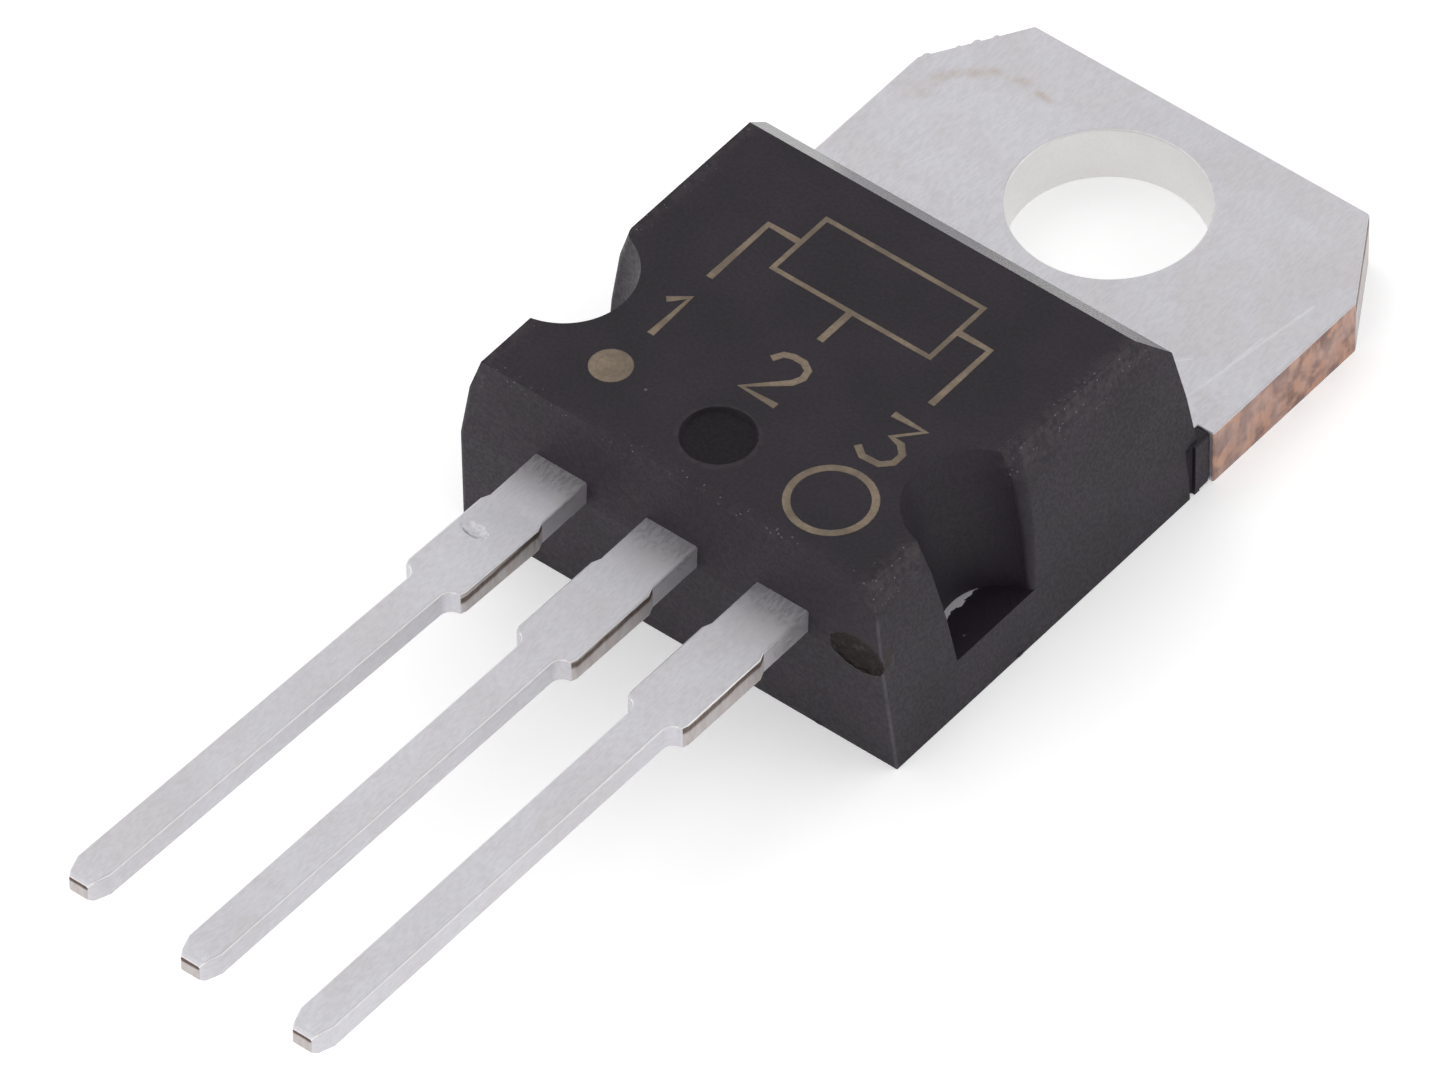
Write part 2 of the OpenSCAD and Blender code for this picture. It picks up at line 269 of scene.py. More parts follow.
def ramp(tree, value, low, high, outLow=0.0, outHigh=1.0):
    settings = {"clamp": True, "interpolation_type": "SMOOTHSTEP"}
    node = addNode(tree, "MapRange", settings, i0=value, i1=low, i2=high, i3=outLow, i4=outHigh)
    return node.outputs[0]


def nearLine(tree, value, line):
    # 1 where the value is the line's, falling to 0 over its reach
    middle, reach = line
    return ramp(tree, calc(tree, "ABSOLUTE", minus(tree, value, middle)), reach, 0.0)


def nearCircle(tree, across, along, circle):
    # 1 inside an ellipse, falling to 0 over its soft rim
    middle, radii, soft = circle
    x = calc(tree, "DIVIDE", minus(tree, across, middle[0]), radii[0])
    y = calc(tree, "DIVIDE", minus(tree, along, middle[1]), radii[1])
    squares = calc(tree, "ADD", times(tree, x, x), times(tree, y, y))
    return ramp(tree, calc(tree, "SQRT", squares), 1 + soft, 1 - soft)


def placeInMm(tree):
    # object coordinates in millimetres, whole and split
    place = addNode(tree, "TexCoord").outputs["Object"]
    whole = vectorCalc(tree, "SCALE", place, factor=1 / mm)[0]
    return whole, addNode(tree, "SeparateXYZ", i0=whole).outputs


def newGroup(name, inputs, outputs):
    # an input whose value has three parts is a vector, and every output is a number
    group = bpy.data.node_groups.new(name, "ShaderNodeTree")
    for label, value in inputs.items():
        kind = "NodeSocketVector" if isinstance(value, tuple) else "NodeSocketFloat"
        group.interface.new_socket(name=label, in_out="INPUT", socket_type=kind).default_value = value
    for label in outputs:
        group.interface.new_socket(name=label, in_out="OUTPUT", socket_type="NodeSocketFloat")
    return group, group.nodes.new("NodeGroupInput").outputs, group.nodes.new("NodeGroupOutput").inputs


# the noise seldom leaves this span
noiseSpan = (0.3, 0.7)
noiseMiddle = sum(noiseSpan) / 2


def makeMottleGroup():
    # soft cloudy variation, with a size in millimetres
    group, given, result = newGroup(
        "mottle", {"Size": 1.0, "Detail": 3.0, "Contrast": 0.2, "Shift": 0.0}, ["Value"])
    moved = vectorCalc(group, "ADD", placeInMm(group)[0], given["Shift"])[0]
    scale = calc(group, "DIVIDE", 1.0, given["Size"])
    noise = addNode(group, "TexNoise", Vector=moved, Scale=scale, Detail=given["Detail"]).outputs["Fac"]
    low = minus(group, noiseMiddle, given["Contrast"])
    high = calc(group, "ADD", noiseMiddle, given["Contrast"])
    group.links.new(ramp(group, noise, low, high), result["Value"])
    return group


def makeGrainGroup():
    # fine grain as a height, plus a value for colour
    group, given, result = newGroup("grain", {"Size": 0.06, "Stretch": (1, 1, 1)}, ["Height", "Value"])
    pulled = vectorCalc(group, "MULTIPLY", placeInMm(group)[0], given["Stretch"])[0]
    scale = calc(group, "DIVIDE", 1.0, given["Size"])
    noise = addNode(group, "TexNoise", Vector=pulled, Scale=scale, Detail=2.0, Roughness=0.6).outputs["Fac"]
    group.links.new(noise, result["Height"])
    group.links.new(ramp(group, noise, *noiseSpan), result["Value"])
    return group


def makeSpeckGroup():
    # sparse small specks: Share is how many cells hold one, from 0 to 1
    group, given, result = newGroup("specks", {"Cell": 0.2, "Radius": 0.2, "Share": 0.1}, ["Value"])
    scale = calc(group, "DIVIDE", 1.0, given["Cell"])
    cells = addNode(group, "TexVoronoi", {"feature": "F1"}, Vector=placeInMm(group)[0], Scale=scale).outputs
    near = minus(group, given["Radius"], cells["Distance"])
    dot = calc(group, "DIVIDE", near, given["Radius"], clamp=True)
    chance = addNode(group, "SeparateColor", i0=cells["Color"]).outputs[0]
    chosen = calc(group, "LESS_THAN", chance, given["Share"])
    group.links.new(times(group, dot, chosen), result["Value"])
    return group


def makeStrokeGroup():
    # a soft straight stroke between two points of the XY plane, in millimetres
    group, given, result = newGroup("stroke", {"From": (0, 0, 0), "To": (1, 0, 0), "Width": 0.05}, ["Value"])
    flat = vectorCalc(group, "MULTIPLY", placeInMm(group)[0], (1, 1, 0))[0]
    away = vectorCalc(group, "SUBTRACT", flat, given["From"])[0]
    along = vectorCalc(group, "SUBTRACT", given["To"], given["From"])[0]
    reach = vectorCalc(group, "DOT_PRODUCT", away, along)["Value"]
    span = vectorCalc(group, "DOT_PRODUCT", along, along)["Value"]
    share = calc(group, "DIVIDE", reach, span, clamp=True)
    foot = vectorCalc(group, "SCALE", along, factor=share)[0]
    gap = vectorCalc(group, "SUBTRACT", away, foot)[0]
    distance = vectorCalc(group, "LENGTH", gap)["Value"]
    group.links.new(ramp(group, distance, given["Width"], 0.0), result["Value"])
    return group


mottle = makeMottleGroup()
grain = makeGrainGroup()
specks = makeSpeckGroup()
stroke = makeStrokeGroup()


def cloudy(tree, look):
    return useGroup(tree, mottle, **look)["Value"]


# Materials

def setSurface(tree, shader, look, colour, height, relief=None, metallic=1.0):
    # roughness follows the grain's height; bump is a strength and a depth in millimetres
    rough = ramp(tree, height, *noiseSpan, *look["roughness"])
    feed(tree, shader, {"Base Color": colour, "Roughness": rough, "Metallic": metallic})
    if "bump" in look:
        strength, depth = look["bump"]
        bump = addNode(tree, "Bump", Strength=strength, Distance=depth * mm, Height=relief or height)
        tree.links.new(bump.outputs[0], shader.inputs["Normal"])


# in millimetres; a span runs from where an effect is nothing to where it is full
epoxyLook = {
    "dark": (0.0058, 0.0029, 0.0073, 1),
    "pale": (0.0140, 0.0083, 0.0160, 1),
    "speck": (0.20, 0.20, 0.24, 1),
    "worn": (0.062, 0.050, 0.047, 1),
    "broken": (0.0135, 0.0080, 0.0080, 1),
    "pressed": (0.0044, 0.0023, 0.0046, 1),
    "specular": 0.34, "pitSpecular": 0.19, "bevelCoat": 0.85, "coatRoughness": 0.27,
    "roughness": (0.50, 0.66), "bump": (0.55, 0.006),
    "grainSize": 0.075, "grainShare": 0.35, "coarseSize": 0.20, "coarseShare": 3.0,
    "cloud": {"Size": 1.6, "Contrast": 0.25},
    "pinMark": ((0.05, -11.35), (0.71, 0.71), 0.04), "pinRim": ((0.07, -11.38), (0.80, 0.80), 0.06),
    "pinSpan": (4.20, 4.35), "rimRub": 0.5,
    "gateScar": ((4.25, 2.68), (0.64, 0.42), 0.10), "scarSpan": (-12.30, -12.40),
    "fewSpecks": {"Cell": 0.42, "Radius": 0.10, "Share": 0.10}, "fewShare": 0.6,
    "manySpecks": {"Cell": 0.085, "Radius": 0.27, "Share": 0.26},
    "frontEdge": (-12.56, 0.28), "frontSpan": (4.25, 4.42), "frontRub": 0.25,
    "sideEdge": (4.46, 0.42), "sideSpan": (3.6, 4.2),
    "patch": {"Size": 0.17, "Contrast": 0.12, "Shift": 7.0}, "patchShare": 0.33,
    "parting": 2.5, "corner": (4.85, -12.67), "leanBelow": (0.06, 0.08), "leanAbove": (-0.146, 0.05),
    "cornerReach": (0.065, 0.02), "cornerSpan": (3.9, 3.6), "cornerShare": 0.24,
    "wear": {"Size": 0.3, "Contrast": 0.3, "Shift": 3.0}, "wearLeast": 0.25, "wearMore": 0.6,
}


def cornerHighlightAndWear(tree, outward, y, z):
    # a pale line down the corners of the lead side, which lean in both ways from the parting line: partly a
    # painted highlight of the rounded corner, partly wear
    look = epoxyLook
    below = calc(tree, "MAXIMUM", minus(tree, look["parting"], z), 0.0)
    above = calc(tree, "MAXIMUM", minus(tree, z, look["parting"]), 0.0)
    squares = []
    for value, start, lower, upper in zip((outward, y), look["corner"], look["leanBelow"], look["leanAbove"]):
        line = calc(tree, "MULTIPLY_ADD", below, lower, calc(tree, "MULTIPLY_ADD", above, upper, start))
        gap = minus(tree, value, line)
        squares.append(times(tree, gap, gap))
    gap = calc(tree, "SQRT", calc(tree, "ADD", *squares))
    corner = times(tree, ramp(tree, gap, *look["cornerReach"]), ramp(tree, z, *look["cornerSpan"]))
    wear = cloudy(tree, look["wear"])
    corner = times(tree, corner, calc(tree, "MULTIPLY_ADD", wear, look["wearMore"], look["wearLeast"]))
    return times(tree, corner, look["cornerShare"])


def makeEpoxy(name, specular, coat=0.0):
    look = epoxyLook
    material, tree, shader = newTree(name)
    _, (x, y, z) = placeInMm(tree)
    cloud = cloudy(tree, look["cloud"])
    fine = useGroup(tree, grain, Size=look["grainSize"])
    colour = blend(tree, cloud, look["dark"], look["pale"])
    colour = blend(tree, times(tree, fine["Value"], look["grainShare"]), colour, look["pale"])
    # the pin's mark is darker than the face, and so is the broken gate
    high = ramp(tree, z, *look["pinSpan"])
    pressed = times(tree, nearCircle(tree, x, y, look["pinMark"]), high)
    colour = blend(tree, pressed, colour, look["pressed"])
    scar = times(tree, nearCircle(tree, x, z, look["gateScar"]), ramp(tree, y, *look["scarSpan"]))
    colour = blend(tree, scar, colour, look["broken"])
    # filler specks all over, more of them beside the edges of the marked face
    few = useGroup(tree, specks, **look["fewSpecks"])["Value"]
    outward = calc(tree, "ABSOLUTE", x)
    frontEdge = nearLine(tree, y, look["frontEdge"])
    sideEdge = times(tree, nearLine(tree, outward, look["sideEdge"]), ramp(tree, z, *look["sideSpan"]))
    edge = calc(tree, "MAXIMUM", times(tree, frontEdge, ramp(tree, z, *look["frontSpan"])), sideEdge)
    many = useGroup(tree, specks, **look["manySpecks"])["Value"]
    speck = calc(tree, "MAXIMUM", times(tree, few, look["fewShare"]), times(tree, many, edge), clamp=True)
    # the pale corner line: painted highlight on the rounded corners, with some wear
    colour = blend(tree, cornerHighlightAndWear(tree, outward, y, z), colour, look["speck"])
    # rubbed patches along the same edges and round the pin's mark
    patch = cloudy(tree, look["patch"])
    ring = times(tree, nearCircle(tree, x, y, look["pinRim"]), high)
    rim = minus(tree, ring, pressed, clamp=True)
    rubbed = calc(tree, "MAXIMUM", times(tree, frontEdge, look["frontRub"]), sideEdge)
    rubbed = times(tree, calc(tree, "MAXIMUM", rubbed, times(tree, rim, look["rimRub"])), patch)
    colour = blend(tree, times(tree, rubbed, look["patchShare"]), colour, look["worn"])
    colour = blend(tree, speck, colour, look["speck"])
    coarse = useGroup(tree, grain, Size=look["coarseSize"])["Height"]
    uneven = times(tree, calc(tree, "MAXIMUM", scar, pressed), look["coarseShare"])
    relief = calc(tree, "ADD", fine["Height"], times(tree, coarse, uneven))
    setSurface(tree, shader, look, colour, fine["Height"], relief, 0.0)
    feed(tree, shader, {
        "Specular IOR Level": specular, "Coat Weight": coat, "Coat Roughness": look["coatRoughness"]})
    return material


tinLook = {
    "bright": (0.650, 0.642, 0.676, 1),
    "dull": (0.555, 0.541, 0.570, 1),
    "stain": (0.50, 0.42, 0.36, 1),
    "pale": (0.78, 0.78, 0.80, 1),
    # a pale colour painted as a highlight on the hole's wall and on the leads' rounded top edges, and its
    # share
    "polished": (0.90, 0.89, 0.87, 1), "paintedHighlightShare": 0.7,
    "roughness": (0.46, 0.60), "bump": (0.5, 0.0018),
    "grain": {"Size": 0.05, "Stretch": (1, 0.3, 1)}, "grainShare": 0.22,
    "cloud": {"Size": 2.4, "Contrast": 0.22}, "cloudShare": 0.35,
    "blotch": {"Size": 1.3, "Contrast": 0.06, "Shift": 11.0}, "blotchShare": 0.10,
    "ragged": {"Size": 0.35, "Contrast": 0.2, "Shift": 4.0}, "bandShare": 0.55,
    "scratchShare": 0.35, "scratchDepth": -2.0, "scratchSpan": (-3.5, -3.3),
    "slugTop": (1.32, 1.30), "slugFront": (-7.0, -7.1), "slugMatt": 0.85,
    "smear": {"Size": 0.22, "Contrast": 0.16, "Shift": 9.0},
    "filmEdge": (4.15, -0.08), "filmSpan": (0.0, 0.012),
    # each stain and scratch: from, to and width
    "stains": (
        ((-4.53, 0.02, 0), (-4.34, 0.79, 0), 0.30), ((-4.34, 0.79, 0), (-3.74, 1.39, 0), 0.26),
        ((-3.74, 1.39, 0), (-3.1, 1.5, 0), 0.18), ((-2.75, 1.42, 0), (-2.5, 1.38, 0), 0.14)),
    "scratches": (
        ((4.08, -3.2, 0), (4.52, 0.25, 0), 0.06), ((4.23, -2.1, 0), (4.28, -0.95, 0), 0.04),
        ((3.3, -2.5, 0), (3.6, -2.15, 0), 0.03), ((-3.4, -1.4, 0), (-3.2, -0.9, 0), 0.025)),
}


def sumOfStrokes(tree, lines):
    total = 0.0
    for start, end, width in lines:
        line = useGroup(tree, stroke, From=start, To=end, Width=width)["Value"]
        total = calc(tree, "MAXIMUM", total, line)
    return total


def makeTin(name, paintedHighlightShare=0.0):
    look = tinLook
    material, tree, shader = newTree(name)
    _, (x, y, z) = placeInMm(tree)
    cloud = cloudy(tree, look["cloud"])
    fine = useGroup(tree, grain, **look["grain"])
    colour = blend(tree, times(tree, cloud, look["cloudShare"]), look["bright"], look["dull"])
    colour = blend(tree, times(tree, fine["Value"], look["grainShare"]), colour, look["dull"])
    # faint handling stains, stronger in one band behind the tab's left corner
    blotch = cloudy(tree, look["blotch"])
    ragged = cloudy(tree, look["ragged"])
    band = times(tree, times(tree, sumOfStrokes(tree, look["stains"]), ragged), look["bandShare"])
    colour = blend(
        tree, calc(tree, "ADD", times(tree, blotch, look["blotchShare"]), band), colour, look["stain"])
    scratch = times(tree, sumOfStrokes(tree, look["scratches"]), ramp(tree, y, *look["scratchSpan"]))
    colour = blend(tree, times(tree, scratch, look["scratchShare"]), colour, look["pale"])
    # painted highlight: the colour is pulled toward a pale one
    colour = blend(tree, paintedHighlightShare, colour, look["polished"])
    # the slug that shows in the notches is blasted matt
    sunk = times(tree, ramp(tree, z, *look["slugTop"]), ramp(tree, y, *look["slugFront"]))
    metallic = minus(tree, 1.0, times(tree, sunk, look["slugMatt"]))
    # a thin ragged film of moulding runs over the slug's long edges there
    smear = cloudy(tree, look["smear"])
    edge, wander = look["filmEdge"]
    over = minus(tree, calc(tree, "ABSOLUTE", x), calc(tree, "MULTIPLY_ADD", smear, wander, edge))
    film = times(tree, ramp(tree, over, *look["filmSpan"]), sunk)
    colour = blend(tree, film, colour, epoxyLook["pale"])
    metallic = times(tree, metallic, minus(tree, 1.0, film))
    relief = calc(tree, "ADD", fine["Height"], times(tree, scratch, look["scratchDepth"]))
    setSurface(tree, shader, look, colour, fine["Height"], relief, metallic)
    return material


copperLook = {
    "light": (0.52, 0.32, 0.24, 1),
    "dark": (0.265, 0.172, 0.150, 1),
    "pink": (0.46, 0.335, 0.305, 1), "pinkShare": 0.5,
    "roughness": (0.42, 0.66), "bump": (0.8, 0.03),
    "gouges": {"Size": 0.22, "Stretch": (1, 1, 0.35)},
    "blotch": {"Size": 0.34, "Contrast": 0.12, "Shift": 2.0},
    "pinkish": {"Size": 0.9, "Contrast": 0.12, "Shift": 5.0},
}


def makeCopper():
    look = copperLook
    material, tree, shader = newTree("sawnCopper")
    gouges = useGroup(tree, grain, **look["gouges"])["Height"]
    blotch = cloudy(tree, look["blotch"])
    pinkish = cloudy(tree, look["pinkish"])
    colour = blend(tree, blotch, look["light"], look["dark"])
    colour = blend(tree, times(tree, pinkish, look["pinkShare"]), colour, look["pink"])
    setSurface(tree, shader, look, colour, gouges)
    return material


# each band: depths at which it starts, is full, still is full and ends, and its strength
shearLook = {
    "rolled": (0.50, 0.48, 0.48, 1),
    # painted shade: a dark band under the upper face where the edge rolls over
    "rolloverShade": (0.10, 0.062, 0.048, 1),
    "bare": (0.52, 0.44, 0.41, 1),
    "roughness": (0.35, 0.6), "bump": (0.6, 0.012),
    "wander": {"Size": 0.5, "Contrast": 0.3}, "wanderDepth": 0.05,
    "streak": {"Size": 0.09, "Stretch": (1, 1, 0.25)}, "streakShare": 0.5,
    "tabTop": 1.27, "tabBand": (0.02, 0.05, 0.24, 0.34, 0.95),
    "leadTop": 3.03, "leadBand": (0.02, 0.06, 0.13, 0.22, 0.9),
    "tipBand": (-0.02, 0.01, 0.05, 0.11, 0.95),
}


def makeShearedEdge(name, top, band):
    # the side of a blanked strip: a dark band of painted shade for the rolled-over edge, starting below the
    # upper face, bare metal under it
    look = shearLook
    material, tree, shader = newTree(name)
    z = placeInMm(tree)[1]["Z"]
    wander = cloudy(tree, look["wander"])
    depth = calc(tree, "ADD", minus(tree, top, z), times(tree, wander, look["wanderDepth"]))
    start, full, last, end, strength = band
    inside = times(tree, ramp(tree, depth, start, full), ramp(tree, depth, end, last))
    streak = useGroup(tree, grain, **look["streak"])
    bare = times(tree, streak["Value"], look["streakShare"])
    colour = blend(tree, bare, look["rolled"], look["bare"])
    # painted shade of the rolled-over edge, in a band below the upper face
    colour = blend(tree, times(tree, inside, strength), colour, look["rolloverShade"])
    setSurface(tree, shader, look, colour, streak["Height"])
    return material


markLook = {
    "light": (0.215, 0.165, 0.115, 1), "dark": (0.125, 0.092, 0.066, 1),
    "roughness": (0.6, 0.8), "bump": (0.6, 0.006), "grainSize": 0.09, "grainShare": 0.4,
    "cloud": {"Size": 0.6, "Contrast": 0.2},
}


def makeLaserMark():
    look = markLook
    material, tree, shader = newTree("laserMark")
    fine = useGroup(tree, grain, Size=look["grainSize"])
    cloud = cloudy(tree, look["cloud"])
    colour = blend(tree, cloud, look["light"], look["dark"])
    colour = blend(tree, times(tree, fine["Value"], look["grainShare"]), colour, look["dark"])
    setSurface(tree, shader, look, colour, fine["Height"], metallic=0.0)
    return material


epoxy = makeEpoxy("epoxy", epoxyLook["specular"])
pitEpoxy = makeEpoxy("pitEpoxy", epoxyLook["pitSpecular"])
smoothEpoxy = makeEpoxy("smoothEpoxy", epoxyLook["specular"], epoxyLook["bevelCoat"])
tin = makeTin("tinPlate")
# tin with a painted highlight, for faces that shine
paintedHighlightTin = makeTin("paintedHighlightTin", tinLook["paintedHighlightShare"])
copper = makeCopper()
laserMark = makeLaserMark()
tabCut = makeShearedEdge("tabCutEdge", shearLook["tabTop"], shearLook["tabBand"])
leadCut = makeShearedEdge("leadCutEdge", shearLook["leadTop"], shearLook["leadBand"])
print("materials made")


# Tab and heat slug: overlap is how far a block runs into the next, through how far a tool passes a face

tab = {
    "halfWidth": 5.08, "thickness": 1.27, "end": 2.75, "start": -3.4, "cropX": 1.2, "cropY": 1.95,
    "holeRadius": 1.9, "holeSides": 128, "shoulder": 4.7, "shoulderStart": -4.3,
    "slugHalf": 4.15, "slugEnd": -10.8, "slugUnder": 0.5, "padHalf": 3.95, "padEnd": -10.6, "edge": 0.045,
    "overlap": 0.1, "through": 1,
}


def makeTab():
    t, top = tab, tab["thickness"]
    plate = addBlock("tabPlate", (-t["halfWidth"], t["start"], 0), (t["halfWidth"], t["end"], top))
    for side in (-1, 1):
        corner = (side * t["halfWidth"], t["end"] - t["cropY"], 0)
        sliceOff(plate, corner, (side * t["cropY"], t["cropX"], 0))
    hole = addRound(
        "hole", t["holeRadius"], t["holeRadius"], (0, 0, -t["through"]), top + 2 * t["through"],
        sides=t["holeSides"])
    carve(plate, hole)
    softenEdges(plate, t["edge"])
    inside = t["shoulderStart"] + t["overlap"]
    for name, low, high in (
            ("shoulder", (-t["shoulder"], t["shoulderStart"], 0),
             (t["shoulder"], t["start"] + t["overlap"], top)),
            ("slug", (-t["slugHalf"], t["slugEnd"], t["slugUnder"]), (t["slugHalf"], inside, top)),
            ("pad", (-t["padHalf"], t["padEnd"], 0), (t["padHalf"], inside, top))):
        combine(plate, addBlock(name, low, high))
    return plate


# Leads

lead = {
    "front": -12.67, "under": 2.5, "thickness": 0.53, "pitch": 2.54, "inner": -12.21, "clear": 0.02,
    "neckHalf": 0.595, "neckEnd": -13.92, "wideStart": -14.10, "wideHalf": 0.67,
    "cornerStart": -16.13, "cornerHalf": 0.625, "wideEnd": -16.27, "rootRadius": 0.24, "rootSteps": 5,
    "pinHalf": 0.38, "taperStart": -25.62, "tipMiddle": -25.95, "middleHalf": 0.275, "middleSquash": 0.93,
    "tip": -26.07, "tipHalf": 0.21, "tipSquash": 0.6, "edge": 0.045, "sharpFrom": 40,
    "lifts": (0.6, 0.25, 0.1),
}


def leadStations():
    # each a place along the lead, its half width there and the share of its thickness
    s = lead
    stations = [
        (s["neckEnd"], s["neckHalf"], 1), (s["wideStart"], s["wideHalf"], 1),
        (s["cornerStart"], s["wideHalf"], 1), (s["wideEnd"], s["cornerHalf"], 1)]
    for step in range(1, s["rootSteps"] + 1):
        turn = pi / 2 * step / s["rootSteps"]
        half = s["pinHalf"] + s["rootRadius"] * (1 - sin(turn))
        stations.append((s["wideEnd"] - s["rootRadius"] * (1 - cos(turn)), half, 1))
    return stations + [
        (s["taperStart"], s["pinHalf"], 1), (s["tipMiddle"], s["middleHalf"], s["middleSquash"]),
        (s["tip"], s["tipHalf"], s["tipSquash"])]


def pushOut(move):
    bpy.ops.mesh.extrude_region_move(TRANSFORM_OT_translate={"value": move})


def growLead(name, axisX, lift, inner):
    # a short block at the moulding, then its end face is pushed out from station to station
    low, high = lead["under"], lead["under"] + lead["thickness"]
    start = lead["front"] - lead["clear"]
    piece = addBlock(name, (axisX - lead["neckHalf"], start, low), (axisX + lead["neckHalf"], inner, high))
    openParts(piece, True, lambda face: face.normal.y < -care["facing"])
    y, half, squash, height = start, lead["neckHalf"], 1, 0.0
    middle = (low + high) / 2
    for nextY, nextHalf, nextSquash in leadStations():
        nextHeight = lift * max(0, lead["neckEnd"] - nextY) / (lead["neckEnd"] - lead["tip"])
        pushOut((0, nextY - y, nextHeight - height))
        if nextHalf != half or nextSquash != squash:
            centre = (axisX, nextY, middle + nextHeight)
            bpy.ops.transform.resize(value=(nextHalf / half, 1, nextSquash / squash), center_override=centre)
        y, half, squash, height = nextY, nextHalf, nextSquash, nextHeight
    closeMesh()
    joinFlatFaces(piece)
    return piece


strap = {"radius": 0.2, "angle": 70, "steps": 8, "foot": 0.2}


def growStrap(piece):
    # the middle lead's inner end turns down to the slug: two spun bends and a straight slope
    thick = lead["thickness"]
    turn = radians(strap["angle"])
    middleRadius = strap["radius"] + thick / 2
    climb = lead["under"] + thick - tab["thickness"]
    slope = (climb - 2 * middleRadius * (1 - cos(turn))) / sin(turn)
    run = 2 * middleRadius * sin(turn) + slope * cos(turn)
    upperY = tab["slugEnd"] - run
    inner = max(polygon.center.y for polygon in piece.data.polygons)
    openParts(piece, True, lambda face: (
        face.normal.y > care["facing"] and face.center.y > inner - care["level"]))
    pushOut((0, upperY - inner, 0))
    centre = (0, upperY, lead["under"] - strap["radius"])
    bpy.ops.mesh.spin(steps=strap["steps"], angle=turn, center=centre, axis=(1, 0, 0))
    pushOut((0, slope * cos(turn), -slope * sin(turn)))
    centre = (0, tab["slugEnd"], tab["thickness"] + strap["radius"])
    bpy.ops.mesh.spin(steps=strap["steps"], angle=-turn, center=centre, axis=(1, 0, 0))
    pushOut((0, strap["foot"], 0))
    closeMesh()


post = {
    "start": 0.45, "length": 1.1, "inner": 0.8, "outer": 1.2, "holeRadius": 0.25, "holeSides": 32,
    "drillFrom": 1, "drillLength": 3,
}


def addPost(piece, side):
    p = post
    axisX = side * lead["pitch"]
    start = lead["front"] + p["start"]
    reach = sorted((axisX - side * p["inner"], axisX + side * p["outer"]))
    low, high = lead["under"], lead["under"] + lead["thickness"]
    plate = addBlock("post", (reach[0], start, low), (reach[1], start + p["length"], high))
    radius = p["holeRadius"]
    foot = (axisX + side * (p["outer"] - 2 * radius), start + p["length"] / 2, low - p["drillFrom"])
    carve(plate, addRound("hole", radius, radius, foot, p["drillLength"], sides=p["holeSides"]))
    combine(piece, plate)


# burrs that the shear left on the tab's left corner: each a place and a radius
nibs = (
    ((-4.95, 0.93, 1.19), 0.12), ((-4.45, 1.78, 1.19), 0.11), ((-4.25, 2.10, 1.20), 0.09),
    ((-4.64, 1.47, 1.21), 0.07))
nibScale = (1, 1, 0.6)

metal = makeTab()
for place, radius in nibs:
    combine(metal, addBall("nib", place, radius, nibScale))
middle = growLead("middleStrip", 0, lead["lifts"][1], lead["inner"])
softenEdges(middle, lead["edge"])
growStrap(middle)
combine(metal, middle)
metal.name = "tabAndMiddleLead"
print("tab shaped")

dent = {
    "middle": (-2.76, -14.80), "radii": (0.46, 0.28, 0.13), "depth": 0.03, "detail": 4, "reach": 0.4,
    "rough": {"offset": 0.006, "spread": 0.5, "seed": 9},
}


def dentTool():
    # an uneven lump that leaves a shallow knock in the left lead's wide stretch
    x, y = dent["middle"]
    lift = lead["lifts"][0] * (lead["neckEnd"] - y) / (lead["neckEnd"] - lead["tip"])
    z = lead["under"] + lead["thickness"] + lift + dent["radii"][2] - dent["depth"]
    tool = addBall("dent", (x, y, z), 1, dent["radii"], dent["detail"])
    roughen(tool, **dent["rough"])
    return tool


outerLeads = []
for side, name in ((-1, "leftLead"), (1, "rightLead")):
    piece = growLead(name, side * lead["pitch"], lead["lifts"][side + 1], lead["inner"])
    softenEdges(piece, lead["edge"])
    addPost(piece, side)
    if side < 0:
        for away in (-dent["reach"], dent["reach"]):
            scoreAcross(piece, (0, dent["middle"][1] + away, 0), (0, 1, 0))
        carve(piece, dentTool())
    outerLeads.append(piece)
print("leads shaped")


# Moulded body

body = {
    "base": 5.0, "waist": 4.85, "top": 4.42, "front": -12.67, "parting": 2.5, "height": 4.497,
    "frontTop": -12.57, "frontBase": -12.47, "sideHigh": (4.67, 3.73),
    "rear": -3.7, "rearShelf": 1.27, "rearHigh": (-4.13, 3.73), "rearTop": -4.9,
    "topEdge": 0.13, "topSteps": 4, "edge": 0.06, "bevelFrom": 24, "sharpFrom": 35,
    "notchX": 4.74, "notchY": -9.82, "notchTop": 1.37, "notchFloor": 1.08, "leanOut": 5.5, "leanBack": 4.5,
    # each flake of flash: its middle and its radii
    "flash": (((4.99, -8.92, 0.04), (0.035, 0.12, 0.03)), ((3.2, -12.47, 0.03), (0.12, 0.022, 0.025))),
    "ejector": (0.05, -11.35, 0.72, 0.06), "clear": 0.008, "below": 0.01, "pocketEnd": -3.0,
    "scar": (4.25, 2.68, 0.62, 0.40, 0.16), "scarDetail": 4,
    "scarRough": {"offset": 0.014, "spread": 0.6, "seed": 4},
    "earX": (4.6, 5.01), "earY": (-4.0, -3.4), "earEdge": 0.09, "earSteps": 4,
    "reliefY": (-3.98, -3.84), "reliefDepth": 0.10, "reliefEdge": 0.05,
}


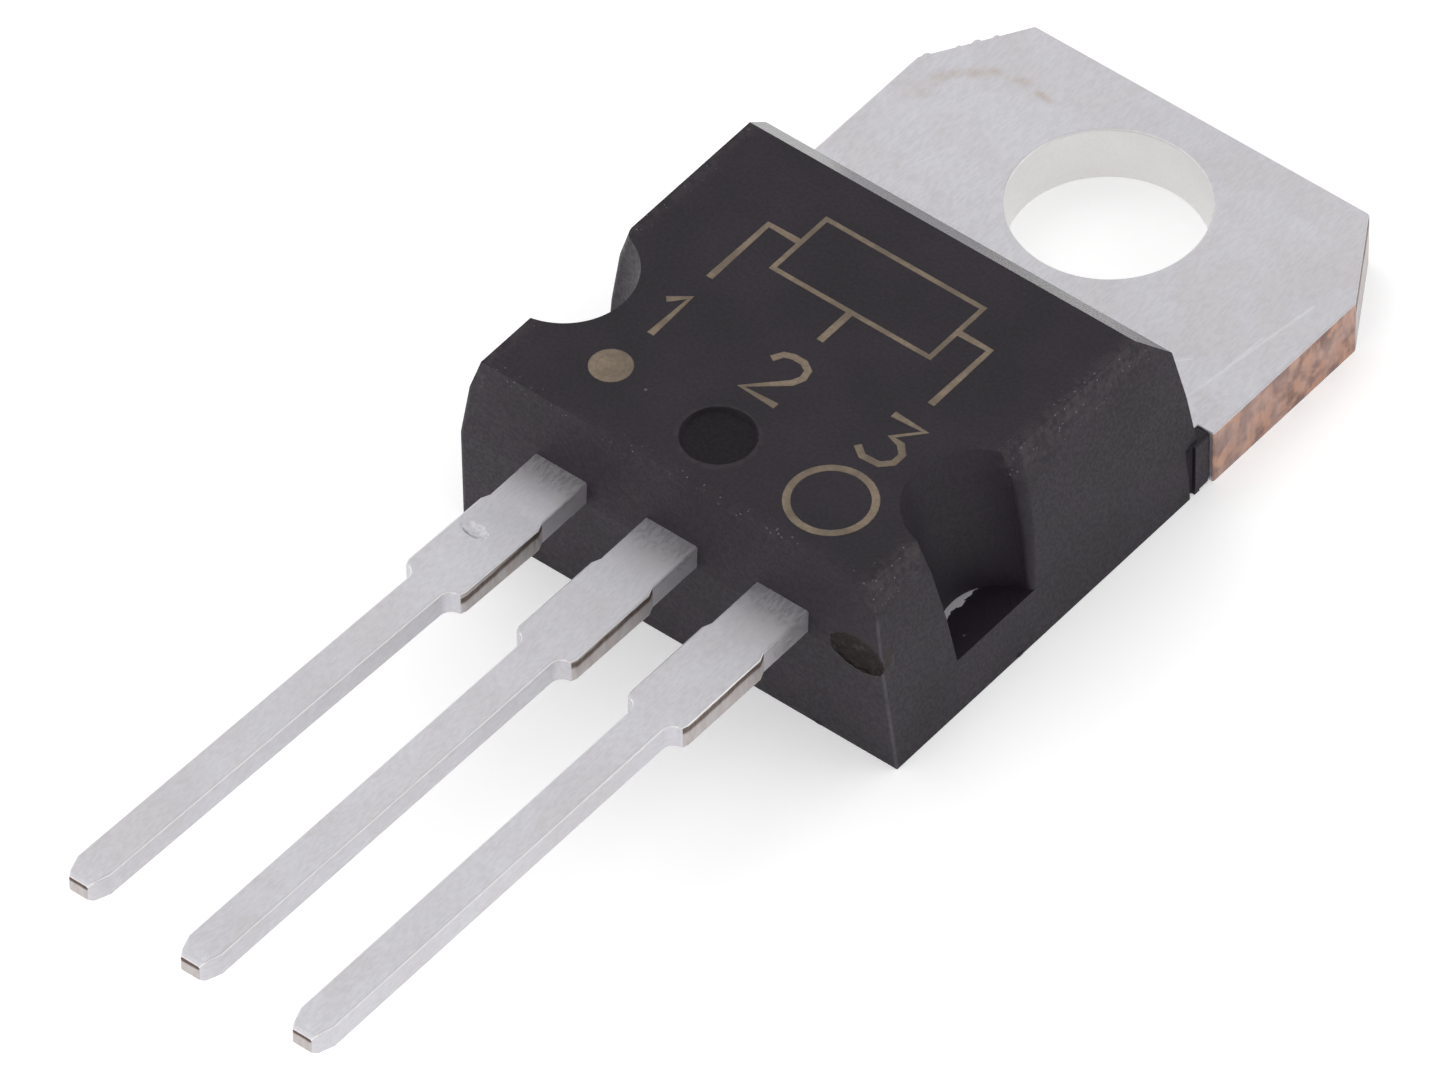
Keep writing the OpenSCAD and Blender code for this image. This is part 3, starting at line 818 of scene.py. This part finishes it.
def makeBody():
    b = body
    base, waist, front, parting, height = (b[k] for k in ("base", "waist", "front", "parting", "height"))
    piece = addBlock("mouldedBody", (-base, front, 0), (base, b["rear"], height))
    sideX, sideZ = b["sideHigh"]
    for side in (-1, 1):
        sliceOff(piece, (side * base, 0, 0), (side * parting, 0, base - waist))
        sliceOff(piece, (side * waist, 0, parting), (side * (sideZ - parting), 0, waist - sideX))
        sliceOff(piece, (side * sideX, 0, sideZ), (side * (height - sideZ), 0, sideX - b["top"]))
    sliceOff(piece, (0, front, parting), (0, parting - height, b["frontTop"] - front))
    sliceOff(piece, (0, front, parting), (0, -parting, front - b["frontBase"]))
    highY, highZ = b["rearHigh"]
    sliceOff(piece, (0, b["rear"], b["rearShelf"]), (0, highZ - b["rearShelf"], b["rear"] - highY))
    sliceOff(piece, (0, highY, highZ), (0, height - highZ, highY - b["rearTop"]))
    for side in (-1, 1):
        carve(piece, notchTool(side))
        carve(piece, roundTool(side))
    level = height - b["below"]
    bevelEdges(piece, b["topEdge"], b["topSteps"], lambda p, q: p.z > level and q.z > level)
    through = tab["through"]
    for side in (-1, 1):
        combine(piece, sideTool(side, b["earX"], b["earY"], 0, b["earEdge"], b["earSteps"]))
        reach = (base - b["reliefDepth"], base + through)
        carve(piece, sideTool(side, reach, b["reliefY"], -through, b["reliefEdge"]))
    softenEdges(piece, b["edge"], sharpFrom=b["bevelFrom"])
    for place, radii in b["flash"]:
        combine(piece, addBall("flash", place, 1, radii))
    x, y, radius, depth = b["ejector"]
    mark = addRound("pinMark", radius - depth, radius + depth, (x, y, height - depth), 2 * depth)
    carve(piece, mark)
    # the broken gate leaves an uneven hollow
    x, z, halfWidth, halfHeight, depth = b["scar"]
    scar = addBall("scar", (x, front, z), 1, (halfWidth, depth, halfHeight), b["scarDetail"])
    roughen(scar, **b["scarRough"])
    carve(piece, scar)
    return piece


def notchTool(side):
    b = body
    height, top = b["height"], b["notchTop"]
    taper = (top - b["notchFloor"]) * height / (height - tab["thickness"])
    tool = addRound(
        "notch", top - taper, top + taper, (side * b["notchX"], b["notchY"], 0), 2 * height,
        (b["leanBack"], -side * b["leanOut"], 0))
    sliceOff(tool, (0, 0, tab["thickness"] - b["clear"]), (0, 0, -1))
    return tool


# the rounded rear edge of each notch: its radius at the floor and at the top, how far the bar that is cut
# passes the face, the notch's wall and the side, and how far the rod in it passes the bar's ends
notchRound = {
    "low": 0.13, "high": 0.30, "above": 0.05, "inVoid": 0.05, "outside": 0.2, "rodEnd": 0.5, "sides": 48}


def roundLevels():
    # heights where the moulding's long side starts, kinks and ends beside a notch, with its half widths
    b, above = body, notchRound["above"]
    sideX, sideZ = b["sideHigh"]
    floor = tab["thickness"] - b["clear"]
    floorX = b["base"] + (b["waist"] - b["base"]) * floor / b["parting"]
    topX = b["top"] - above * (sideX - b["top"]) / (b["height"] - sideZ)
    return (floor, floorX), (b["parting"], b["waist"]), (sideZ, sideX), (b["height"] + above, topX)


def roundRadius(level):
    low, high = notchRound["low"], notchRound["high"]
    floor = tab["thickness"]
    return low + (high - low) * (level - floor) / (body["height"] - floor)


def roundSection(level, sideX):
    # middle of the round that stays, and the four corners of the bar that is cut, on the right
    b = body
    radius = roundRadius(level)
    drop = b["height"] - level
    middle = Vector((
        b["notchX"] + drop * tan(radians(b["leanOut"])),
        b["notchY"] + drop * tan(radians(b["leanBack"]))))
    slope = (b["notchTop"] - b["notchFloor"]) / (b["height"] - tab["thickness"])
    wall = b["notchTop"] - drop * slope
    across = sideX - radius - middle.x
    centre = Vector((sideX - radius, middle.y + sqrt((wall + radius) ** 2 - across ** 2)))
    toWall = (centre - middle).normalized()
    touch = middle + wall * toWall
    inVoid = touch - notchRound["inVoid"] * toWall
    outside = Vector((sideX + notchRound["outside"], inVoid.y))
    return centre, (touch, inVoid, outside, Vector((sideX, centre.y)))


def roundTool(side):
    # a bar along a notch's rear edge, less the round that stays
    levels = roundLevels()
    heights = [level for level, _ in levels]
    sections = [roundSection(*level) for level in levels]
    bar = addBlock("roundBar", (0, 0, heights[0]), (1, 1, heights[-1]))
    low, high = heights[0] - notchRound["rodEnd"], heights[-1] + notchRound["rodEnd"]
    radii = roundRadius(low), roundRadius(high)
    rod = addRound("roundRod", *radii, (0, 0, low), high - low, sides=notchRound["sides"])
    for piece in (bar, rod):
        for level in heights[1:-1]:
            scoreAcross(piece, (0, 0, level), (0, 0, 1))
    corners = {(0, 0): 0, (0, 1): 1, (1, 1): 2, (1, 0): 3}
    for vertex in bar.data.vertices:
        section = min(zip(heights, sections), key=lambda pair: abs(pair[0] - vertex.co.z))[1]
        vertex.co.x, vertex.co.y = section[1][corners[round(vertex.co.x), round(vertex.co.y)]]
    for vertex in rod.data.vertices:
        step = sum(vertex.co.z > level - care["degenerate"] for level in heights[1:-1])
        share = (vertex.co.z - heights[step]) / (heights[step + 1] - heights[step])
        place = sections[step][0].lerp(sections[step + 1][0], share)
        vertex.co.x += place.x
        vertex.co.y += place.y
    tidyMesh(bar)
    carve(bar, rod)
    if side < 0:
        bar.scale = (-1, 1, 1)
        freezePlace(bar)
        tidyMesh(bar)
    return bar


def sideTool(side, x, y, under, edge, steps=3):
    # a soft block at the tab's height beside it, for an ear or a relief
    low, high = sorted((side * x[0], side * x[1]))
    tool = addBlock("sideBlock", (low, y[0], under), (high, y[1], tab["thickness"]))
    softenEdges(tool, edge, steps)
    return tool


def cutPocket(piece):
    # room for the shoulder, the slug and its pad, open to the underside and to the tab's side
    t, top, under = tab, tab["thickness"], -tab["through"]
    inside = t["shoulderStart"] + t["overlap"]
    for low, high in (
            ((-t["shoulder"], t["shoulderStart"], under), (t["shoulder"], body["pocketEnd"], top)),
            ((-t["slugHalf"], t["slugEnd"], t["slugUnder"]), (t["slugHalf"], inside, top)),
            ((-t["padHalf"], t["padEnd"], under), (t["padHalf"], inside, (t["slugUnder"] + top) / 2))):
        carve(piece, addBlock("pocket", low, high))


moulding = makeBody()
cutPocket(moulding)
slot = growLead("middleSlot", 0, lead["lifts"][1], lead["inner"])
softenEdges(slot, lead["edge"])
growStrap(slot)
carve(moulding, slot)
for piece in outerLeads:
    carve(moulding, piece, keepTool=True)
print("body shaped", len(moulding.data.polygons))


# Surfaces of the shaped pieces: pieces are modelled in millimetres and shrunk when they are done

def finishPiece(piece, node, slot, material, sharpFrom):
    smoothShade(piece, sharpFrom)
    piece.scale = (mm, mm, mm)
    freezePlace(piece)
    dress(piece, material)
    handOver(piece, slot, node)


for piece, node in zip((metal, *outerLeads), ("tab_and_middle_lead", "left_lead", "right_lead")):
    finishPiece(piece, node, "tinned_copper", tin, lead["sharpFrom"])
finishPiece(moulding, "moulded_body", "moulding_compound", epoxy, body["sharpFrom"])

# limits for the faces that get another material: parts of a normal, and places in millimetres
choice = {
    "bevelLean": 0.35, "bevelAside": 0.2, "markLow": 1.5, "markHigh": 0.01,
    "scarFrom": -12.3, "scarFlat": 0.995, "scarAside": 0.8, "scarRadii": (0.6, 0.4),
    "upright": 0.3, "sideFrom": 5.03, "wallLean": 0.8, "wallReach": 0.05, "cropReach": 0.02, "cropAway": 2.2,
    "softLow": 0.3, "softHigh": 0.95, "leadSide": 0.8, "tipFacing": 0.75, "tipReach": 0.02,
}
crop = tab["end"] - tab["cropY"]
markX, markY, markRadius, markDepth = body["ejector"]
scarX, scarZ = body["scar"][:2]
# the mould left the rear bevel smooth, so it shines at a flat angle
paintFaces(moulding, smoothEpoxy, lambda c, n: (
    min(n.y, n.z) > choice["bevelLean"] and abs(n.x) < choice["bevelAside"] and c.z > body["rearHigh"][1]))
paintFaces(moulding, pitEpoxy, lambda c, n: (
    hypot(c.x - markX, c.y - markY) < markRadius
    and choice["markHigh"] < body["height"] - c.z < choice["markLow"] * markDepth))
paintFaces(moulding, pitEpoxy, lambda c, n: (
    c.y < choice["scarFrom"] and abs(n.y) < choice["scarFlat"] and abs(n.x) < choice["scarAside"]
    and hypot((c.x - scarX) / choice["scarRadii"][0], (c.z - scarZ) / choice["scarRadii"][1]) < 1))
paintFaces(metal, copper, lambda c, n: (
    abs(n.z) < choice["upright"] and abs(c.x) > choice["sideFrom"] and c.y < crop))
# painted highlight on the hole's wall
paintFaces(metal, paintedHighlightTin, lambda c, n: (
    abs(n.z) < choice["wallLean"] and hypot(c.x, c.y) < tab["holeRadius"] + choice["wallReach"]))
paintFaces(metal, tabCut, lambda c, n: (
    abs(n.z) < choice["upright"] and c.y > crop + choice["cropReach"]
    and hypot(c.x, c.y) > choice["cropAway"]))
for piece, lift in zip((outerLeads[0], metal, outerLeads[1]), lead["lifts"]):
    # painted highlight on the leads' rounded top edges
    paintFaces(piece, paintedHighlightTin, lambda c, n: (
        choice["softLow"] < abs(n.x) < choice["softHigh"] and n.z > choice["softLow"]
        and c.y < lead["neckEnd"]))
    paintFaces(piece, leadCut, lambda c, n: (
        abs(n.x) > choice["leadSide"] and lead["wideEnd"] < c.y < lead["neckEnd"]))
    top = lead["under"] + lead["thickness"] * (1 + lead["tipSquash"]) / 2 + lift
    tipCut = makeShearedEdge(piece.name + "TipCut", top, shearLook["tipBand"])
    paintFaces(piece, tipCut, lambda c, n: (
        n.y < -choice["tipFacing"] and c.y < lead["tip"] + choice["tipReach"]))
print("surfaces done")


# Laser marks: a plain pin diagram, figures for the leads, a ring and a dot

marks = {
    "width": 0.155, "level": 4.4984, "flat": 0.02, "roundness": 2,
    "box": ((-1.8, -7.5), (1.8, -7.5), (1.8, -5.95), (-1.8, -5.95)),
    "legs": (
        ((-1.8, -6.7), (-2.54, -6.7), (-2.54, -8.4)), ((1.8, -6.7), (2.54, -6.7), (2.54, -8.4)),
        ((0, -7.5), (0, -8.4))),
    # middle, radius and corners of the ring and of the circles that fill the dot
    "rings": (
        (2.62, -11.35, 0.8, 48), (-2.54, -11.2, 0.34, 32), (-2.54, -11.2, 0.2, 24), (-2.54, -11.2, 0.07, 16)),
    "figureHeight": 1.15, "figureLine": -10.15, "figureHalf": 0.35,
    # strokes of the figures, with a height of 1
    "figures": (
        ((0.12, 0.74), (0.40, 1.0), (0.40, 0.0)),
        ((0.0, 0.76), (0.10, 0.94), (0.26, 1.0), (0.46, 1.0), (0.62, 0.90), (0.66, 0.72), (0.58, 0.54),
         (0.0, 0.0), (0.70, 0.0)),
        ((0.02, 1.0), (0.66, 1.0), (0.30, 0.60), (0.52, 0.56), (0.68, 0.40), (0.68, 0.18), (0.52, 0.02),
         (0.20, 0.0), (0.0, 0.14))),
}


def drawMark(strokes):
    curve = bpy.data.curves.new("printMarks", "CURVE")
    curve.dimensions = "3D"
    curve.bevel_depth = marks["width"] / 2 * mm
    curve.bevel_resolution = marks["roundness"]
    curve.use_fill_caps = True
    for points, closed in strokes:
        spline = curve.splines.new("POLY")
        spline.points.add(len(points) - 1)
        for point, (x, y) in zip(spline.points, points):
            point.co = (x * mm, y * mm, 0, 1)
        spline.use_cyclic_u = closed
    piece = bpy.data.objects.new("printMarks", curve)
    bpy.context.scene.collection.objects.link(piece)
    makeActive(piece)
    bpy.ops.object.convert(target="MESH")
    piece = bpy.context.object
    piece.scale = (1, 1, marks["flat"])
    piece.location = (0, 0, marks["level"] * mm)
    freezePlace(piece)
    return piece


def circlePoints(x, y, radius, count):
    turns = [2 * pi * i / count for i in range(count)]
    return [(x + radius * cos(t), y + radius * sin(t)) for t in turns]


def makeMarks():
    strokes = [(marks["box"], True)] + [(leg, False) for leg in marks["legs"]]
    strokes += [(circlePoints(*ring), True) for ring in marks["rings"]]
    height, line = marks["figureHeight"], marks["figureLine"]
    for place, points in zip((-1, 0, 1), marks["figures"]):
        left = place * lead["pitch"] - marks["figureHalf"] * height
        strokes.append(([(left + x * height, line + y * height) for x, y in points], False))
    return drawMark(strokes)


printed = makeMarks()
dress(printed, laserMark)
handOver(printed, "moulding_compound")
print("marks made")


# Sealed pieces keep their CAD shape

sealedGrain = 0.08
sealed = (
    ("polishedSilicon", ("regulator_chip",), {
        "light": (0.10, 0.11, 0.13, 1), "dark": (0.16, 0.17, 0.20, 1), "roughness": (0.15, 0.25)}),
    ("dieSolder", ("die_solder",), {
        "light": (0.42, 0.42, 0.40, 1), "dark": (0.30, 0.30, 0.28, 1), "roughness": (0.4, 0.6)}),
    ("bondWire", ("left_wire", "right_wire", "sense_wire"), {
        "light": (0.80, 0.80, 0.82, 1), "dark": (0.68, 0.68, 0.70, 1), "roughness": (0.25, 0.4)}),
)


def makeSealedMetal(name, look):
    # slightly uneven metal
    material, tree, shader = newTree(name)
    fine = useGroup(tree, grain, Size=sealedGrain)
    colour = blend(tree, fine["Value"], look["light"], look["dark"])
    setSurface(tree, shader, look, colour, fine["Height"])
    return material


for materialName, nodes, look in sealed:
    material = makeSealedMetal(materialName, look)
    for node in nodes:
        dress(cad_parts[node], material)


# Floor, light and camera: these places and sizes are in metres, apart from the camera's

studio = {
    "floorColour": (0.93, 0.93, 0.93, 1), "floorSize": 4, "floorGlow": 0.28, "floorRoughness": 0.9,
    "floorSpecular": 0.1, "floorCloud": {"Size": 60.0, "Contrast": 0.4}, "cloudShare": 0.3,
    "cloudShade": 0.98, "zenith": 0.68, "horizon": 1.08,
    # the room is brighter in front, by the leads, and darker on the right: direction, start and strength
    "walls": (((0.15, -0.99, 0), 0.1, 2.0), ((0.85, -0.53, 0), 0.35, 0.5)),
    # name, place, size and power
    "lamps": (("keyLamp", (-0.28, 0.10, 0.42), 0.30, 0.26), ("edgeLamp", (0.32, 0.24, 0.20), 0.30, 0.18)),
    "lampAim": (0, -0.011, 0),
}


def makeFloor():
    selectNothing()
    bpy.ops.mesh.primitive_plane_add(size=studio["floorSize"], location=(0, 0, 0))
    floor = bpy.context.object
    floor.name = "floor"
    material, tree, shader = newTree("paleFloor")
    cloud = cloudy(tree, studio["floorCloud"])
    pale = studio["floorColour"]
    shaded = tuple(v * studio["cloudShade"] for v in pale[:3]) + (1,)
    shade = blend(tree, times(tree, cloud, studio["cloudShare"]), pale, shaded)
    feed(tree, shader, {
        "Base Color": shade, "Roughness": studio["floorRoughness"],
        "Specular IOR Level": studio["floorSpecular"], "Emission Color": (1, 1, 1, 1),
        "Emission Strength": studio["floorGlow"]})
    floor.data.materials.append(material)


def makeWorld():
    world = bpy.data.worlds.new("studio")
    bpy.context.scene.world = world
    world.use_nodes = True
    tree = world.node_tree
    tree.nodes.clear()
    output = tree.nodes.new("ShaderNodeOutputWorld")
    direction = addNode(tree, "TexCoord").outputs["Generated"]
    up = addNode(tree, "SeparateXYZ", i0=direction).outputs["Z"]
    level = ramp(tree, up, 0.0, 1.0, studio["horizon"], studio["zenith"])
    for way, start, strength in studio["walls"]:
        toward = vectorCalc(tree, "DOT_PRODUCT", direction, way)["Value"]
        level = times(tree, level, ramp(tree, toward, start, 1.0, 1.0, strength))
    # the camera itself sees plain white
    seen = addNode(tree, "LightPath").outputs["Is Camera Ray"]
    strength = addNode(tree, "Mix", {"data_type": "FLOAT"}, i0=seen, i2=level, i3=1.0).outputs[0]
    background = addNode(tree, "Background", Color=(1, 1, 1, 1), Strength=strength)
    tree.links.new(background.outputs[0], output.inputs["Surface"])


def makeLamps():
    for name, place, size, power in studio["lamps"]:
        data = bpy.data.lights.new(name, "AREA")
        data.size = size
        data.energy = power
        lamp = bpy.data.objects.new(name, data)
        lamp.location = place
        aim = Vector(studio["lampAim"]) - Vector(place)
        lamp.rotation_euler = aim.to_track_quat("-Z", "Y").to_euler()
        bpy.context.scene.collection.objects.link(lamp)


# target and distance are in millimetres, focal is in pixels of a picture as wide as frameWidth
cameraSpot = {
    "target": (-0.117, -11.139, 1.5), "distance": 383.73, "azimuth": 39.339, "elevation": 46.591,
    "roll": -0.670, "focal": 21396.8, "frameWidth": 1440, "sensor": 36, "clip": (0.01, 20),
}


def makeCamera():
    spot = cameraSpot
    azimuth, elevation, roll = (radians(spot[k]) for k in ("azimuth", "elevation", "roll"))
    back = Vector((
        sin(azimuth) * cos(elevation), -cos(azimuth) * cos(elevation), sin(elevation)))
    right = Vector((cos(azimuth), sin(azimuth), 0))
    up = back.cross(right)
    turnedRight = cos(roll) * right + sin(roll) * up
    turnedUp = -sin(roll) * right + cos(roll) * up
    data = bpy.data.cameras.new("camera")
    data.sensor_width = spot["sensor"]
    data.lens = spot["focal"] / spot["frameWidth"] * data.sensor_width
    data.clip_start, data.clip_end = spot["clip"]
    camera = bpy.data.objects.new("camera", data)
    matrix = Matrix((turnedRight, turnedUp, back)).transposed().to_4x4()
    matrix.translation = (Vector(spot["target"]) + back * spot["distance"]) * mm
    camera.matrix_world = matrix
    bpy.context.scene.collection.objects.link(camera)
    bpy.context.scene.camera = camera


makeFloor()
makeWorld()
makeLamps()
makeCamera()
bpy.context.scene.view_settings.view_transform = "Standard"
print("studio made")
